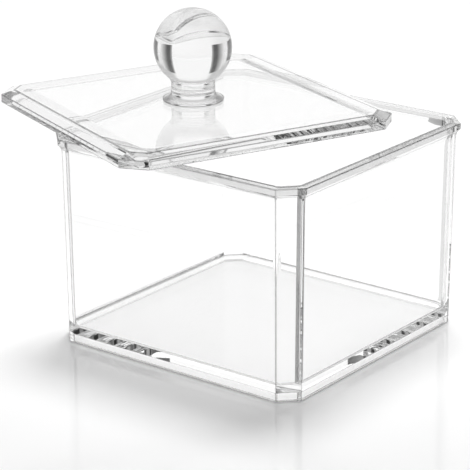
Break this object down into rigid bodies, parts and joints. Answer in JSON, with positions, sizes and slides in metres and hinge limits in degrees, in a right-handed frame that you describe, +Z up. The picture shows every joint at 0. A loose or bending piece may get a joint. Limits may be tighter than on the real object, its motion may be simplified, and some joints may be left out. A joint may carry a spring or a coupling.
{
  "type": "storage box with lid",
  "caption": "Clear moulded square box with cut corners and a flared rim, and a loose bevelled lid with a ball knob, lying askew on the rim, for small toiletries.",
  "frame": {"origin": "centre of the box's foot, on the surface that it stands on", "axes": "+Z up, +X and -Y out of the two walls that the picture shows"},
  "size_m": [0.1343, 0.1196, 0.0997],
  "materials": {
    "clear_plastic": "clear, colourless, polished"
  },
  "bodies": {
    "root": {"box": "clear_plastic", "lid": "clear_plastic", "knob": "clear_plastic"}
  },
  "joints": []
}
